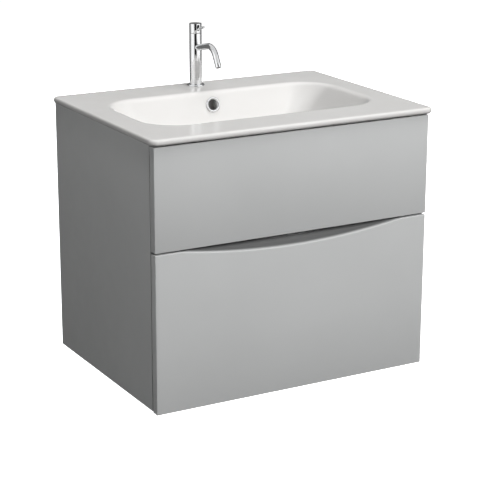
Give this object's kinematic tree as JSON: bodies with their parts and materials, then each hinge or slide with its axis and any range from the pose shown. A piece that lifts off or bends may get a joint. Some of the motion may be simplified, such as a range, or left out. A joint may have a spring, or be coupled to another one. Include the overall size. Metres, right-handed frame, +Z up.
{
  "type": "vanity cabinet",
  "caption": "Wall-hung bathroom vanity cabinet with handleless drawers, a curved finger scoop, an inset ceramic basin and a slim pin-lever mixer tap.",
  "frame": {"origin": "on the wall plane, at the centre of the four wall fixing holes", "axes": "+X to the right as seen from the front, +Y into the wall, +Z up; the drawers open towards -Y"},
  "size_m": [0.616, 0.458, 0.662],
  "materials": {
    "lacquer_grey": "matt grey lacquer on fibreboard",
    "board_light": "light grey melamine board",
    "zinc_steel": "zinc plated steel",
    "chrome": "polished chrome plate",
    "ceramic": "gloss white glaze",
    "rubber_black": "matt rubber",
    "plastic_dark": "moulded plastic",
    "plastic_grey": "moulded plastic",
    "soft_clear": "translucent soft pad"
  },
  "bodies": {
    "root": {"side_left": "lacquer_grey", "side_right": "lacquer_grey", "bottom_panel": "lacquer_grey", "front_rail": "board_light", "middle_rail": "lacquer_grey", "back_upper_rail": "board_light", "back_lower_rail": "board_light", "hanger_left": "zinc_steel", "hanger_right": "zinc_steel", "wall_plate_left": "zinc_steel", "wall_plate_right": "zinc_steel", "carcass_screws": "zinc_steel", "cam_discs": "zinc_steel", "cam_bolts": "zinc_steel", "front_bumpers": "soft_clear", "runner_outer_upper_left": "zinc_steel", "runner_outer_upper_right": "zinc_steel", "runner_outer_lower_left": "zinc_steel", "runner_outer_lower_right": "zinc_steel", "basin": "ceramic", "overflow_ring": "chrome", "waste_body": "chrome", "waste_gasket": "rubber_black", "waste_nut": "chrome", "tap_base": "chrome", "tap_foot_block": "chrome", "tap_body": "chrome", "tap_spout": "chrome", "tap_aerator": "plastic_dark", "tap_cartridge": "plastic_grey", "tap_washer": "zinc_steel", "tap_stud": "zinc_steel", "tap_nut": "zinc_steel"},
    "upper_runner_middle": {"runner_mid_upper_left": "zinc_steel", "runner_mid_upper_right": "zinc_steel"},
    "upper_drawer": {"runner_inner_upper_left": "zinc_steel", "runner_inner_upper_right": "zinc_steel", "upper_front": "lacquer_grey", "upper_side_left": "board_light", "upper_side_right": "board_light", "upper_bottom": "board_light", "upper_back_left": "board_light", "upper_back_right": "board_light", "upper_trap_surround": "board_light", "upper_brackets": "zinc_steel", "upper_screws": "zinc_steel"},
    "lower_runner_middle": {"runner_mid_lower_left": "zinc_steel", "runner_mid_lower_right": "zinc_steel"},
    "lower_drawer": {"runner_inner_lower_left": "zinc_steel", "runner_inner_lower_right": "zinc_steel", "lower_front": "lacquer_grey", "lower_side_left": "board_light", "lower_side_right": "board_light", "lower_bottom": "board_light", "lower_back": "board_light", "lower_brackets": "zinc_steel", "lower_screws": "zinc_steel"},
    "cap": {"tap_cap": "chrome"},
    "lever": {"tap_lever": "chrome"},
    "plug": {"waste_plug": "chrome"}
  },
  "joints": [
    {"name": "upper_drawer_slide", "type": "slide", "parent": "root", "child": "upper_drawer", "axis": [0, -1, 0], "range_m": [0, 0.33]},
    {"name": "upper_middle_slide", "type": "slide", "parent": "root", "child": "upper_runner_middle", "axis": [0, -1, 0], "range_m": [0, 0.165]},
    {"name": "lower_drawer_slide", "type": "slide", "parent": "root", "child": "lower_drawer", "axis": [0, -1, 0], "range_m": [0, 0.33]},
    {"name": "lower_middle_slide", "type": "slide", "parent": "root", "child": "lower_runner_middle", "axis": [0, -1, 0], "range_m": [0, 0.165]},
    {"name": "tap_turn", "type": "hinge", "parent": "root", "child": "cap", "pos_m": [0, -0.038, 0.167], "axis": [0, 0, 1], "range_deg": [-45, 45]},
    {"name": "lever_lift", "type": "hinge", "parent": "cap", "child": "lever", "pos_m": [0, -0.038, 0.167], "axis": [-1, 0, 0], "range_deg": [0, 20]},
    {"name": "plug_lift", "type": "slide", "parent": "root", "child": "plug", "axis": [0, 0, 1], "range_m": [0, 0.008]}
  ],
  "couplings": [
    {"joint": "upper_middle_slide", "follows": "upper_drawer_slide", "ratio": 0.5},
    {"joint": "lower_middle_slide", "follows": "lower_drawer_slide", "ratio": 0.5}
  ]
}
